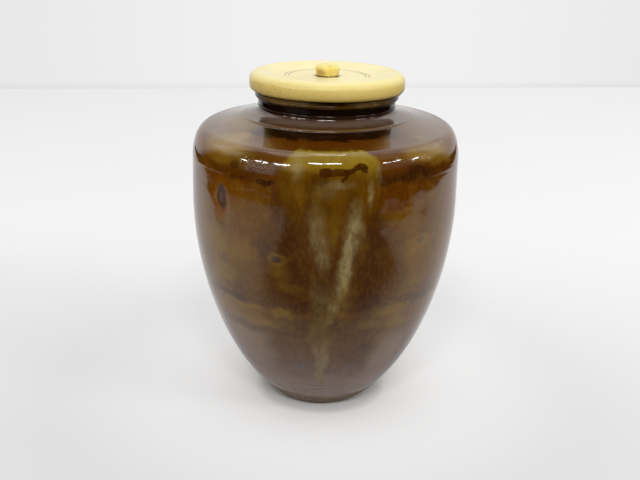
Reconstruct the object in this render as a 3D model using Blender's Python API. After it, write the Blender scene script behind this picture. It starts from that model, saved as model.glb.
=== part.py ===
# A small shouldered tea caddy: a thrown, glazed pot under a dished lid with a knob.
# Lengths are in metres and +Z is up. The origin is the middle of the foot's flat face.
import math

import bpy
from mathutils import Vector

# The pot, from the foot up: each rise is measured from the level before it
foot_radius = 0.0110
foot_bevel_width = 0.00076
foot_bevel_rise = 0.0005
belly_radius = 0.03295
belly_rise = 0.0540
ring_rise = 0.00975
ring_depth = 0.00025
ring_width = 0.0007
shoulder_rise = 0.00967
collar_width = 0.0038
collar_step = 0.0001
collar_rounding = 0.00035
collar_rise = 0.0026
neck_rise = 0.0016
lip_rise = 0.0018
lip_overhang = 0.0008
lip_rounding = 0.0006
mouth_radius = 0.0143
neck_wall = 0.0025
belly_wall = 0.0028
floor_thickness = 0.0045
inner_corner = 0.0025

# The lid, from the face that sits on the lip
lid_overhang = 0.00134
lid_rise = 0.0043
lid_upper_rounding = 0.00224
lid_upper_rounding_rise = 0.0019
lid_lower_rounding = 0.0006
lid_lower_rounding_rise = 0.0009
dish_depth = 0.0011
groove_width = 0.00022
groove_depth = 0.00014
plug_rise = 0.0020
plug_rounding = 0.0003
plug_rim = 0.0008
peg_bore_depth = 0.0026

# The knob, which is a peg set into the middle of the dish
knob_radius = 0.0030
knob_base_radius = 0.0028
knob_rise = 0.0028
peg_radius = 0.0012

# The gilt paper disc under the lid
lining_thickness = 0.0002

# Room between the pieces
seat_gap = 0.0003
plug_clearance = 0.0005
inset_gap = 0.0003

# How far each curve is pulled at its two ends, in shares of its own width and height
belly_pull_shares = ((0.59, 0.18), (0.0, -0.41))
ring_pull_shares = ((0.0, 0.4), (0.0, -0.4))
shoulder_pull_shares = ((0.0, 0.49), (-0.825, 0.0))
collar_pull_shares = ((0.55, 0.12), (0.0, -0.6))
corner_pull_shares = ((0.55, 0.0), (0.0, -0.55))
dish_pull_shares = ((0.5, 0.0), (-0.4, 0.0))

# Places along a piece, in shares of the size that they follow
ring_radius_share = 0.998
inner_floor_share = 0.82
dish_floor_share = 0.64
groove_shares = (0.563, 0.617)
knob_waist_share = 0.12
knob_crown_share = 0.52

# Points closer than this on the axis are one point
merge_distance = 0.00001

# Sides round each turned piece
pot_sides = 48
lid_sides = 48
knob_sides = 32

# Levels and radii that follow from the sizes above
ring_level = belly_rise + ring_rise
shoulder_level = ring_level + shoulder_rise
neck_level = shoulder_level + collar_rise
lip_level = neck_level + neck_rise
pot_rise = lip_level + lip_rise
neck_radius = mouth_radius + neck_wall
lip_radius = neck_radius + lip_overhang
collar_radius = neck_radius + collar_width
lid_radius = lip_radius + lid_overhang
crest_radius = lid_radius - lid_upper_rounding
dish_level = lid_rise - dish_depth
plug_radius = mouth_radius - plug_clearance
recess_radius = plug_radius - plug_rim
recess_depth = inset_gap + lining_thickness
peg_bore_radius = peg_radius + inset_gap
knob_seat_radius = knob_base_radius + inset_gap

# Base colour, roughness and metallic value
iron_glaze = ((0.125, 0.048, 0.008), 0.12, 0.0)
cream = ((0.79, 0.66, 0.26), 0.32, 0.0)
warm_cream = ((0.76, 0.52, 0.16), 0.30, 0.0)
gilt = ((0.83, 0.58, 0.20), 0.38, 1.0)


def clear_scene():
    for thing in list(bpy.data.objects):
        bpy.data.objects.remove(thing, do_unlink=True)


def curve(start, end, pull_shares, count):
    # A cubic curve from start to end, without its first point
    first, last = Vector(start), Vector(end)
    box = last - first
    first_pull = first + box * Vector(pull_shares[0])
    last_pull = last + box * Vector(pull_shares[1])
    points = []
    for step in range(1, count + 1):
        t = step / count
        rest = 1 - t
        point = first * rest**3 + first_pull * 3 * rest**2 * t
        point += last_pull * 3 * rest * t**2 + last * t**3
        points.append((point.x, point.y))
    return points


def arc(centre, across, up, first_degrees, last_degrees, count):
    # Points on part of an ellipse, both ends included
    points = []
    for step in range(count + 1):
        turn = first_degrees + (last_degrees - first_degrees) * step / count
        angle = math.radians(turn)
        points.append((centre[0] + across * math.cos(angle), centre[1] + up * math.sin(angle)))
    return points


def material(name, look):
    colour, roughness, metallic = look
    made = bpy.data.materials.new(name)
    made.use_nodes = True
    shader = made.node_tree.nodes["Principled BSDF"]
    shader.inputs["Base Color"].default_value = (*colour, 1)
    shader.inputs["Roughness"].default_value = roughness
    shader.inputs["Metallic"].default_value = metallic
    made.diffuse_color = (*colour, 1)
    return made


def turned(name, outline, sides, look, level, parent=None):
    # A solid of revolution: the outline starts and ends on the axis and runs down its outer side
    mesh = bpy.data.meshes.new(name)
    vertices = [(radius, 0, height) for radius, height in outline]
    edges = [(index, index + 1) for index in range(len(outline) - 1)]
    mesh.from_pydata(vertices, edges, [])
    mesh.materials.append(material(name + "_finish", look))
    piece = bpy.data.objects.new(name, mesh)
    bpy.context.collection.objects.link(piece)
    piece.location.z = level
    piece.parent = parent
    screw = piece.modifiers.new("turning", "SCREW")
    screw.axis = "Z"
    screw.steps = sides
    screw.render_steps = sides
    screw.use_merge_vertices = True
    screw.merge_threshold = merge_distance
    screw.use_smooth_shade = True
    return piece


def pot_inside():
    # From the middle of the floor up the inner wall to the top of the mouth
    wall_radius = belly_radius - belly_wall
    ring_radius = wall_radius * ring_radius_share
    ceiling_level = shoulder_level - belly_wall
    floor_edge = (foot_radius * inner_floor_share, floor_thickness)
    widest = (wall_radius, belly_rise)
    ring = (ring_radius, ring_level)
    ceiling = (mouth_radius + inner_corner, ceiling_level)
    throat = (mouth_radius, ceiling_level + inner_corner)
    points = [(0, floor_thickness), floor_edge]
    points += curve(floor_edge, widest, belly_pull_shares, 11)
    points += curve(widest, ring, ring_pull_shares, 1)
    points += curve(ring, ceiling, shoulder_pull_shares, 6)
    points += curve(ceiling, throat, corner_pull_shares, 4)
    return points


def pot_lip():
    # From the top of the mouth out over the lip to the neck under it
    top = pot_rise - lip_rounding
    inner = mouth_radius + lip_rounding
    outer = lip_radius - lip_rounding
    points = arc((inner, top), lip_rounding, lip_rounding, 180, 90, 2)
    points += arc((outer, top), lip_rounding, lip_rounding, 90, 0, 3)
    low = lip_level + lip_overhang
    points += arc((neck_radius, low), lip_overhang, lip_overhang, 0, -60, 2)
    points.append((neck_radius, lip_level))
    return points


def pot_outside():
    # From the neck down over the shoulder and the belly to the middle of the foot
    neck = (neck_radius, neck_level)
    collar_top = shoulder_level + collar_step + collar_rounding
    collar_edge = (collar_radius - collar_rounding, collar_top)
    shoulder_edge = (collar_radius, shoulder_level)
    ring_radius = belly_radius * ring_radius_share
    ring = (ring_radius, ring_level)
    widest = (belly_radius, belly_rise)
    bevel = (foot_radius + foot_bevel_width, foot_bevel_rise)
    points = [neck]
    rise = curve(collar_edge, neck, collar_pull_shares, 5)
    points += list(reversed(rise[:-1]))
    centre = (collar_edge[0], shoulder_level + collar_step)
    points += arc(centre, collar_rounding, collar_rounding, 90, 0, 3)
    points.append(shoulder_edge)
    shoulder = curve(ring, shoulder_edge, shoulder_pull_shares, 9)
    points += list(reversed(shoulder[:-1]))
    points.append((ring_radius, ring_level + ring_width / 2))
    points.append((ring_radius - ring_depth, ring_level))
    points.append((ring_radius, ring_level - ring_width / 2))
    points += list(reversed(curve(widest, ring, ring_pull_shares, 2)[:-1]))
    points.append(widest)
    belly = curve(bevel, widest, belly_pull_shares, 13)
    points += list(reversed(belly[:-1]))
    points += [bevel, (foot_radius, 0), (0, 0)]
    return points


def lid_outline():
    # From the peg's bore over the dish and the rim, then under the lid to its axis
    bore_floor = dish_level - peg_bore_depth
    seat = dish_level - inset_gap
    points = [(0, bore_floor), (peg_bore_radius, bore_floor), (peg_bore_radius, seat)]
    points += [(knob_seat_radius, seat), (knob_seat_radius, dish_level)]
    for share in groove_shares:
        middle = crest_radius * share
        points.append((middle - groove_width / 2, dish_level))
        points.append((middle, dish_level - groove_depth))
        points.append((middle + groove_width / 2, dish_level))
    dish_edge = (crest_radius * dish_floor_share, dish_level)
    crest = (crest_radius, lid_rise)
    points.append(dish_edge)
    points += curve(dish_edge, crest, dish_pull_shares, 5)[:-1]
    upper = (crest_radius, lid_rise - lid_upper_rounding_rise)
    points += arc(upper, lid_upper_rounding, lid_upper_rounding_rise, 90, 0, 6)
    lower = (lid_radius - lid_lower_rounding, lid_lower_rounding_rise)
    points += arc(lower, lid_lower_rounding, lid_lower_rounding_rise, 0, -90, 3)
    points.append((plug_radius, 0))
    tip = (plug_radius - plug_rounding, plug_rounding - plug_rise)
    points += arc(tip, plug_rounding, plug_rounding, 0, -90, 2)
    points += [(recess_radius, -plug_rise), (recess_radius, recess_depth - plug_rise)]
    points.append((0, recess_depth - plug_rise))
    return points


def knob_outline():
    # From the top of the knob down its side, then round the peg under it
    waist = (knob_base_radius, knob_rise * knob_waist_share)
    crown_level = knob_rise * knob_crown_share
    crown = arc((0, crown_level), knob_radius, knob_rise - crown_level, 90, 0, 6)
    peg_rise = peg_bore_depth - inset_gap
    points = crown
    points += [waist, (knob_base_radius, 0), (peg_radius, 0)]
    points += [(peg_radius, -peg_rise), (0, -peg_rise)]
    return points


def lining_outline():
    radius = recess_radius - inset_gap
    return [(0, lining_thickness), (radius, lining_thickness), (radius, 0), (0, 0)]


clear_scene()

turned("caddy_body", pot_inside() + pot_lip() + pot_outside(), pot_sides, iron_glaze, 0)

# The lid lifts straight off along the pot's axis, so its pieces hang on an empty there
lid = bpy.data.objects.new("lid", None)
bpy.context.collection.objects.link(lid)
lid.location.z = pot_rise + seat_gap
turned("lid_plate", lid_outline(), lid_sides, cream, 0, lid)
turned("lid_knob", knob_outline(), knob_sides, warm_cream, dish_level, lid)
turned("gold_leaf_lining", lining_outline(), lid_sides, gilt, -plug_rise, lid)
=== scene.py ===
import math

import bpy
from mathutils import Matrix, Vector


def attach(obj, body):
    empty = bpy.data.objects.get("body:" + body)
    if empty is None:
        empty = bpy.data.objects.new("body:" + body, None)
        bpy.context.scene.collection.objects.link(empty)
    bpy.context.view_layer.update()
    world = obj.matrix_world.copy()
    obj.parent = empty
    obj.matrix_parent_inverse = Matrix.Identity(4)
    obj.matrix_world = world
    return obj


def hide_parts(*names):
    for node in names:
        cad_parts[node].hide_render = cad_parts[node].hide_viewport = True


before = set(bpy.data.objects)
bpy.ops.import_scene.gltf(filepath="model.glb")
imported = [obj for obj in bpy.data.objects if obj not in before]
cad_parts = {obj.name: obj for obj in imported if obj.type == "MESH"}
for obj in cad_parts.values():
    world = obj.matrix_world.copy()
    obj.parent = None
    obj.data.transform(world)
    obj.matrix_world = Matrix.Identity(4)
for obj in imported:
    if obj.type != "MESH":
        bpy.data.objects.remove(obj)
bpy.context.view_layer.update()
mm = 0.001


# Helpers for node trees. A Value is a node's output, and a sum with it adds a Math node to its tree
class Value:
    def __init__(self, socket):
        self.socket = socket
        self.tree = socket.id_data

    def __abs__(self):
        return calc("ABSOLUTE", self)

    def __neg__(self):
        return calc("MULTIPLY", self, -1)


class Outputs:
    def __init__(self, made):
        self.node = made

    def __getitem__(self, name):
        return Value(self.node.outputs[name])

    def __iter__(self):
        return (Value(socket) for socket in self.node.outputs)


def addSum(way, operation):
    setattr(Value, f"__{way}__", lambda one, other: calc(operation, one, other))
    setattr(Value, f"__r{way}__", lambda one, other: calc(operation, other, one))


sums = {"add": "ADD", "sub": "SUBTRACT", "mul": "MULTIPLY", "truediv": "DIVIDE", "pow": "POWER"}
for way, operation in sums.items():
    addSum(way, operation)


def feed(value, socket):
    if isinstance(value, Value):
        value.tree.links.new(value.socket, socket)
    elif hasattr(value, "__len__") and len(value) == 3 and len(socket.default_value) == 4:
        socket.default_value = (*value, 1)
    else:
        socket.default_value = value


def addNode(tree, kind, inputs=(), **settings):
    made = tree.nodes.new(kind)
    for name, value in settings.items():
        setattr(made, name, value)
    for name, value in dict(inputs).items():
        feed(value, made.inputs[name])
    return Outputs(made)


def addTo(values, kind, **settings):
    # A node fed by position, in the tree that its first Value belongs to
    values = dict(values)
    tree = next(value.tree for value in values.values() if isinstance(value, Value))
    return addNode(tree, kind, values, **settings)


def calc(operation, *values):
    return addTo(enumerate(values), "ShaderNodeMath", operation=operation)[0]


def largest(one, other):
    return calc("MAXIMUM", one, other)


def ease(value, low, high):
    # 0 at low and 1 at high, with soft ends
    return addTo(enumerate((value, low, high)), "ShaderNodeMapRange", interpolation_type="SMOOTHSTEP")[0]


def between(value, low, high):
    return addTo(enumerate((value, 0.0, 1.0, low, high)), "ShaderNodeMapRange")[0]


def blend(share, below, above):
    return addTo({0: share, 6: below, 7: above}, "ShaderNodeMix", data_type="RGBA")[2]


def split(vector):
    return addTo({0: vector}, "ShaderNodeSeparateXYZ")


def combine(*parts):
    return addTo(enumerate(parts), "ShaderNodeCombineXYZ")[0]


def noise(vector, scale, detail=2.0, **more):
    return addTo({"Vector": vector, "Scale": scale, "Detail": detail, **more}, "ShaderNodeTexNoise")


def distance(x, y):
    return calc("SQRT", x * x + y * y)


def azimuthOf(x, y):
    # Degrees from the front, positive to the right
    return calc("DEGREES", calc("ARCTAN2", x, -y))


def objectPlace(tree):
    return addNode(tree, "ShaderNodeTexCoord")["Object"]


def stored(tree, name):
    return addNode(tree, "ShaderNodeAttribute", attribute_name=name)["Fac"]


def curveOf(value, span, points, low, high):
    # A curve through (value, result) points, for values from 0 to span
    made = addTo({"Value": value / span}, "ShaderNodeFloatCurve")
    mapping = made.node.mapping
    line = mapping.curves[0].points
    spread = [(x / span, (y - low) / (high - low)) for x, y in points]
    line[0].location, line[1].location = spread[0], spread[-1]
    for spot in spread[1:-1]:
        line.new(*spot)
    mapping.extend = "HORIZONTAL"
    mapping.update()
    return between(made[0], low, high)


def rampOf(value, span, stops):
    made = addTo({"Fac": value / span}, "ShaderNodeValToRGB")
    bands = made.node.color_ramp.elements
    bands[0].position, bands[1].position = stops[0][0] / span, stops[-1][0] / span
    bands[0].color, bands[1].color = (*stops[0][1], 1), (*stops[-1][1], 1)
    for spot, colour in stops[1:-1]:
        bands.new(spot / span).color = (*colour, 1)
    return made[0]


def newGroup(name, kind, inputs, outputs):
    # The inputs give each socket's first value or the name of its kind
    tree = bpy.data.node_groups.new(name, kind)
    for label, value in inputs.items():
        sort = value if isinstance(value, str) else type(value).__name__.title()
        socket = tree.interface.new_socket(label, in_out="INPUT", socket_type="NodeSocket" + sort)
        if value != sort:
            socket.default_value = value
    for label, sort in outputs.items():
        tree.interface.new_socket(label, in_out="OUTPUT", socket_type="NodeSocket" + sort)
    return tree, addNode(tree, "NodeGroupInput"), tree.nodes.new("NodeGroupOutput").inputs


def place(group, inputs):
    return addTo(inputs, "ShaderNodeGroup", node_tree=group)


def newObject(name, data):
    made = bpy.data.objects.new(name, data)
    bpy.context.collection.objects.link(made)
    return made


def emptyTree(owner):
    owner.use_nodes = True
    owner.node_tree.nodes.clear()
    return owner.node_tree


# Camera, stage and light
studio = {
    "lens": 56.25, "cameraPlace": (0, -0.2433, 0.1221), "cameraTilt": 71.5, "cameraTurn": 1.4, "cameraShift": -0.0053,
    "clipStart": 0.01,
    # the floor and the wall behind it
    "halfWidth": 1.6, "wallTop": 1.2, "wallBehind": 0.46, "wallTurn": 0.155,
    "wallGlow": (0.88, 0.80), "wallMiddle": 0.02, "wallDimsFrom": (0.02, 0.30),
    # painted shade: a soft dark line at the foot of the wall
    "wallFootHeight": 0.006, "wallFoot": 0.93,
    # a soft dome, by how far a ray leans to the back and up, and the white behind all
    "domeLean": (0.684, 0.729), "domeEdge": (0.36, 0.50), "domeGlow": (0.78, 1.04), "backdrop": 0.86,
    # what the glaze mirrors: a bright back beyond an azimuth, a dim room in front, a paler ceiling
    "roomShade": 0.010, "backFrom": 120, "backSlope": 0.85, "backRise": (-3, 9), "backTurn": (96, 116),
    "mirrorRise": (4, 32), "mirrorGlow": (0.82, 1.12), "ceilingRise": (38, 70), "ceilingGlow": 0.22,
    "patchBlur": (4, 3),
    "lampPatches": [  # where the glaze mirrors something brighter: azimuth from, to, elevation from, to, glow
        (-71, -42, 3, 24, 0.85), (-42, -18, 16, 36, 0.50), (-120, -84, 20, 38, 0.75), (-130, -50, 62, 95, 1.40),
        (44, 98, 13, 25, 0.25), (60, 110, 40, 95, 0.35), (112, 142, 22, 42, 0.45), (-16, 14, 38, 45, 1.2)],
    "tubes": [  # azimuth from the front, elevation, degrees wide, degrees high, watts
        (-10, 41, 13, 2.0, 3.2), (7, 41, 15, 2.0, 3.6), (-74, 20, 4, 1.6, 0.7), (-58, 26, 12, 1.8, 2.2),
        (-39, 27, 13, 1.8, 2.2), (62, 29, 19, 1.8, 2.6), (84, 22, 8, 1.6, 0.8), (176, 77, 50, 1.4, 1.4)],
    "tubeDistance": 1.5, "tubesFace": 0.065, "diffuseFrom": 2.5,
}

# White paper; pairs are for the left and the right, or for far and near ends
paper = {
    "middle": (-0.02, 0.02), "halfWidths": (0.238, 0.242), "depths": (0.216, 0.180), "corners": (2.6, 2.1),
    "edge": (1.04, 0.96), "wedge": (0.045, 0.060), "wedgeSpread": (0.32, 0.60), "wedgeBlur": (0.013, -0.013),
    "wedgeFrom": (0.028, 0.068), "wedgeGlow": 0.12,
    "glowFrom": (-0.16, 0.10), "glow": (0.50, 0.85), "nearPot": (0.012, 0.052), "glowNearPot": 0.46,
    # painted shade: the paper darkens towards the front and to the left
    "whiteFrom": (-0.13, 0.16), "white": (0.665, 0.86), "whiterRight": 0.07,
    # a painted pool of light round the pot, and a painted contact shadow at its foot
    "haloAt": (0.075, 0.020), "halo": 0.22, "contactAt": (0.0180, 0.0144), "contact": 0.77,
}


def setCamera():
    camera = newObject("camera", bpy.data.cameras.new("camera"))
    camera.data.lens = studio["lens"]
    camera.data.shift_x = studio["cameraShift"]
    camera.data.clip_start = studio["clipStart"]
    tilt = Matrix.Rotation(math.radians(studio["cameraTilt"]), 4, "X")
    turn = Matrix.Rotation(math.radians(studio["cameraTurn"]), 4, "Z")
    camera.matrix_world = Matrix.Translation(studio["cameraPlace"]) @ tilt @ turn
    bpy.context.scene.camera = camera


def stageSheet(name, corners, material):
    mesh = bpy.data.meshes.new(name)
    mesh.from_pydata(corners, [], [(0, 1, 2, 3)])
    mesh.materials.append(material)
    sheet = newObject(name, mesh)
    return sheet


def sheetFinish():
    # For glossy rays the paper glows, painted light that stands in for the lit sheet in the glaze's reflection; it
    # ends where the real sheet would end, with the dim room beyond
    made = bpy.data.materials.new("whitePaper")
    tree = emptyTree(made)
    x, y, _ = split(objectPlace(tree))
    across, front, out = abs(x), largest(-y, 0), distance(x, y)
    right = ease(x, *paper["middle"])
    bend = between(right, *paper["corners"])
    reach = (across / between(right, *paper["halfWidths"])) ** bend
    depth = (front / between(right, *paper["depths"])) ** bend
    # painted shadow in that glow: a dark wedge widens from the pot towards the camera
    half = between(right, *paper["wedge"]) + front * between(right, *paper["wedgeSpread"])
    wedge = ease(across - half, *paper["wedgeBlur"]) * ease(front, *paper["wedgeFrom"])
    glow = between(ease(y, *paper["glowFrom"]), *paper["glow"]) * ease(reach + depth, *paper["edge"])
    glow = glow * between(wedge, 1.0, paper["wedgeGlow"])
    # painted shadow in the glow close round the pot
    glow = glow * between(ease(out, *paper["nearPot"]), paper["glowNearPot"], 1.0)
    # the paper seen directly: painted shade towards the front and the left, a painted pool of light round the pot and
    # a painted contact shadow at its foot
    white = between(ease(y, *paper["whiteFrom"]), *paper["white"]) + x * paper["whiterRight"]
    white = white + between(ease(out, *paper["haloAt"]), 0.0, paper["halo"])
    white = white * between(ease(out, *paper["contactAt"]), 1.0, paper["contact"])
    plain = addNode(tree, "ShaderNodeBsdfDiffuse", {"Color": white})
    gloss = addNode(tree, "ShaderNodeEmission", {"Strength": largest(glow, studio["roomShade"])})
    ray = addNode(tree, "ShaderNodeLightPath")["Is Glossy Ray"]
    mixed = addNode(tree, "ShaderNodeMixShader", {0: ray, 1: plain[0], 2: gloss[0]})
    addNode(tree, "ShaderNodeOutputMaterial", {"Surface": mixed[0]})
    return made


def wallFinish():
    # The wall glows, a little dimmer to the sides as painted falloff, with a painted shadow in a soft dark line where
    # it meets the floor
    made = bpy.data.materials.new("paleWall")
    tree = emptyTree(made)
    x, _, z = split(objectPlace(tree))
    aside = ease(abs(x - studio["wallMiddle"]), *studio["wallDimsFrom"])
    foot = between(ease(z, studio["wallFootHeight"], 0.0), 1.0, studio["wallFoot"])
    glow = addNode(tree, "ShaderNodeEmission", {"Strength": between(aside, *studio["wallGlow"]) * foot})
    addNode(tree, "ShaderNodeOutputMaterial", {"Surface": glow[0]})
    return made


def setWorld():
    # A soft overhead dome; the side that the camera stands on is dim, as a room is
    world = bpy.data.worlds.new("softRoom")
    bpy.context.scene.world = world
    tree = emptyTree(world)
    x, y, z = split(addNode(tree, "ShaderNodeTexCoord")["Generated"])
    toward = y * studio["domeLean"][0] + z * studio["domeLean"][1]
    soft = between(ease(toward, *studio["domeEdge"]), *studio["domeGlow"])
    turn, lift = azimuthOf(x, y), calc("DEGREES", calc("ARCSINE", z))
    off = abs(turn)
    rim = (studio["backFrom"] - off) * studio["backSlope"]
    behind = ease(lift - rim, *studio["backRise"]) * ease(off, *studio["backTurn"])
    glossy = between(behind, studio["roomShade"], between(ease(lift, *studio["mirrorRise"]), *studio["mirrorGlow"]))
    glossy = glossy + ease(lift, *studio["ceilingRise"]) * (1 - behind) * studio["ceilingGlow"]
    side, up = studio["patchBlur"]
    for first, last, low, top, glow in studio["lampPatches"]:
        patch = ease(turn, first - side, first + side) * ease(turn, last + side, last - side)
        patch = patch * ease(lift, low - up, low + up) * ease(lift, top + up, top - up)
        glossy = glossy + patch * glow
    rays = addNode(tree, "ShaderNodeLightPath")
    light = addNode(tree, "ShaderNodeMix", {0: rays["Is Glossy Ray"], 2: soft, 3: glossy})[0]
    light = addNode(tree, "ShaderNodeMix", {0: rays["Is Camera Ray"], 2: light, 3: studio["backdrop"]})[0]
    back = addNode(tree, "ShaderNodeBackground", {"Color": (1.0, 1.0, 1.0), "Strength": light})
    addNode(tree, "ShaderNodeOutputWorld", {"Surface": back[0]})


def setTubes():
    middle = Vector((0, 0, studio["tubesFace"]))
    reach = studio["tubeDistance"]
    for index, (azimuth, rise, wide, high, watts) in enumerate(studio["tubes"]):
        turn, lift = math.radians(azimuth), math.radians(rise)
        level = Vector((math.sin(turn), -math.cos(turn), 0))
        way = level * math.cos(lift) + Vector((0, 0, math.sin(lift)))
        lamp = bpy.data.lights.new(f"tube{index}", "AREA")
        lamp.shape = "RECTANGLE"
        lamp.size = reach * math.cos(lift) * math.radians(wide)
        lamp.size_y = reach * math.radians(high)
        lamp.energy = watts
        tube = newObject(f"tube{index}", lamp)
        tube.location = middle + way * reach
        tube.rotation_euler = (-way).to_track_quat("-Z", "Y").to_euler()
        tube.visible_camera = False
        tube.visible_diffuse = watts > studio["diffuseFrom"]


def setStage():
    side, top = studio["halfWidth"], studio["wallTop"]
    left, right = (studio["wallBehind"] + way * side * studio["wallTurn"] for way in (-1, 1))
    stageSheet("floor", [(-side, -side, 0), (side, -side, 0), (side, right, 0), (-side, left, 0)], sheetFinish())
    corners = [(-side, left, 0), (side, right, 0), (side, right, top), (-side, left, top)]
    wall = stageSheet("wall", corners, wallFinish())
    wall.visible_glossy = False  # the glaze mirrors the soft room instead
    bpy.context.scene.view_settings.view_transform = "Standard"


setCamera()
setWorld()
setTubes()
setStage()
print("stage, light and camera set")


# Outlines, in millimetres: (radius, level) points that start and end on the axis
def curvePoints(start, end, pulls, count):
    # A cubic curve without its first point; the pulls are shares of its own width and height
    first, last = Vector(start), Vector(end)
    box = last - first
    pullA, pullB = first + box * Vector(pulls[0]), last + box * Vector(pulls[1])
    points = []
    for step in range(1, count + 1):
        t = step / count
        s = 1 - t
        point = first * s**3 + pullA * 3 * s * s * t + pullB * 3 * s * t * t + last * t**3
        points.append((point.x, point.y))
    return points


def arcPoints(centre, across, up, first, last, count):
    points = []
    for step in range(count + 1):
        angle = math.radians(first + (last - first) * step / count)
        points.append((centre[0] + across * math.cos(angle), centre[1] + up * math.sin(angle)))
    return points


def linePoints(start, end, count):
    return [tuple(Vector(start).lerp(Vector(end), step / count)) for step in range(1, count + 1)]


potShape = {
    "foot": 11.0, "footBevel": (0.76, 0.5),
    "belly": 32.95, "bellyLevel": 54.0, "bellyPulls": ((0.59, 0.18), (0, -0.41)),
    "ringLevel": 63.75, "ringDepth": 0.005, "ringWidth": 1.1, "ringShare": 0.998,
    "ringPulls": ((0, 0.4), (0, -0.4)),
    "shoulderLevel": 73.5, "shoulderEnd": (29.4, 71.3), "shoulderBow": -0.17,
    "rollPulls": (3.15, 1.7),
    "insideShoulder": ((0, 0.49), (-0.825, 0)),
    "collar": 20.7, "collarRise": 0.48, "collarRounding": 0.62, "collarPulls": ((0.04, 0.62), (-0.5, -0.12)),
    "neck": 16.8, "neckLevel": 75.75, "neckBead": 0.14, "lipLevel": 77.62, "lip": 17.6, "lipRounding": 0.6,
    "lipGroove": 0.10,
    "rim": 79.42, "mouth": 14.3, "wall": 2.8, "floor": 4.5, "floorRadius": 9.02,
    "insideCorner": 2.5, "cornerPulls": ((0.55, 0), (0, -0.55)),
}


def potInside(s):
    wall = s["belly"] - s["wall"]
    ring = wall * s["ringShare"]
    ceiling = s["shoulderLevel"] - s["wall"]
    corner = s["insideCorner"]
    edge, widest = (s["floorRadius"], s["floor"]), (wall, s["bellyLevel"])
    top, throat = (s["mouth"] + corner, ceiling), (s["mouth"], ceiling + corner)
    points = [(0, s["floor"])] + linePoints((0, s["floor"]), edge, 6)
    points += curvePoints(edge, widest, s["bellyPulls"], 26)
    points += curvePoints(widest, (ring, s["ringLevel"]), s["ringPulls"], 4)
    points += curvePoints((ring, s["ringLevel"]), top, s["insideShoulder"], 18)
    points += curvePoints(top, throat, s["cornerPulls"], 8)
    points += linePoints(throat, (s["mouth"], s["rim"] - s["lipRounding"] - 0.1), 8)
    return points


def potLip(s):
    r = s["lipRounding"]
    top = s["rim"] - r
    points = arcPoints((s["mouth"] + r, top), r, r, 180, 90, 5)
    points += linePoints(points[-1], (s["lip"] - r, s["rim"]), 4)[:-1]
    points += arcPoints((s["lip"] - r, top), r, r, 90, 15, 5)
    for drop, depth in ((0.02, 0.2), (0.10, 0.9), (0.18, 1.0), (0.26, 0.2), (0.36, 0.0)):
        points.append((s["lip"] - s["lipGroove"] * depth, top - drop))
    hang = s["lip"] - s["neck"]
    points += arcPoints((s["neck"], s["lipLevel"] + hang), hang, hang, 0, -75, 7)[1:]
    return points


def potOutside(s):
    start, neck = (s["neck"] + 0.1, s["lipLevel"]), (s["neck"], s["neckLevel"])
    ring = s["belly"] * s["ringShare"]
    bevel = (s["foot"] + s["footBevel"][0], s["footBevel"][1])
    points = [start] + linePoints(start, (s["neck"], s["neckLevel"] + 0.5), 5)
    for rise, out in ((0.36, 0.5), (0.25, 1.0), (0.14, 0.7)):
        points.append((s["neck"] + s["neckBead"] * out, s["neckLevel"] + rise))
    points.append(neck)
    # the collar rolls over to a crease where the shoulder starts
    turn, crest = s["collarRounding"], s["shoulderLevel"] + s["collarRise"]
    points += curvePoints(neck, (s["collar"] - turn, crest), s["collarPulls"], 14)
    drop = s["collarRise"] - 0.05
    points += arcPoints((s["collar"] - turn, crest - drop), turn, drop, 90, 0, 9)[1:]
    crease = (s["collar"] + 0.03, s["shoulderLevel"])
    points.append(crease)
    end = s["shoulderEnd"]
    run = (Vector(end) - Vector(crease)).normalized()
    for step in range(1, 25):
        t = step / 24
        spot = Vector(crease).lerp(Vector(end), t) + Vector((-run.y, run.x)) * s["shoulderBow"] * 4 * t * (1 - t)
        points.append((spot.x, spot.y))
    away = (Vector(points[-1]) - Vector(points[-2])).normalized() * s["rollPulls"][0]
    half = s["ringWidth"] / 2
    for step in range(1, 41):
        t = step / 40
        u = 1 - t
        spot = Vector(end) * u**3 + (Vector(end) + away) * 3 * u * u * t
        spot += Vector((ring, s["ringLevel"] + s["rollPulls"][1])) * 3 * u * t * t
        spot += Vector((ring, s["ringLevel"])) * t**3
        if spot.y > s["ringLevel"] + half:
            points.append((spot.x, spot.y))
    for step in range(-4, 5):
        depth = s["ringDepth"] * (0.5 + 0.5 * math.cos(math.pi * step / 4))
        points.append((ring - depth, s["ringLevel"] - half * step / 4))
    widest = (s["belly"], s["bellyLevel"])
    barrel = curvePoints(widest, (ring, s["ringLevel"]), s["ringPulls"], 16)
    points += [p for p in reversed(barrel) if p[1] < s["ringLevel"] - half]
    points.append(widest)
    points += list(reversed(curvePoints(bevel, widest, s["bellyPulls"], 92)[:-1]))
    points += arcPoints((s["foot"], s["footBevel"][1]), s["footBevel"][0], s["footBevel"][1], 0, -90, 3)
    points += linePoints((s["foot"], 0), (0, 0), 26)
    return points


lidShape = {
    "lid": 18.94, "rise": 4.3, "upperRounding": (2.24, 1.9), "lowerRounding": (0.6, 0.9),
    "dish": 1.1, "dishShare": 0.64, "dishPulls": ((0.5, 0), (-0.4, 0)),
    "grooves": (9.4, 10.3), "grooveWidth": 0.22, "grooveDepth": 0.10,
    "plug": 13.8, "plugRise": 2.0, "plugRounding": 0.3, "recess": 13.0, "recessDepth": 0.5,
    "seat": 3.1, "seatDepth": 0.3, "bore": 1.5, "boreDepth": 2.6,
}


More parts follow.
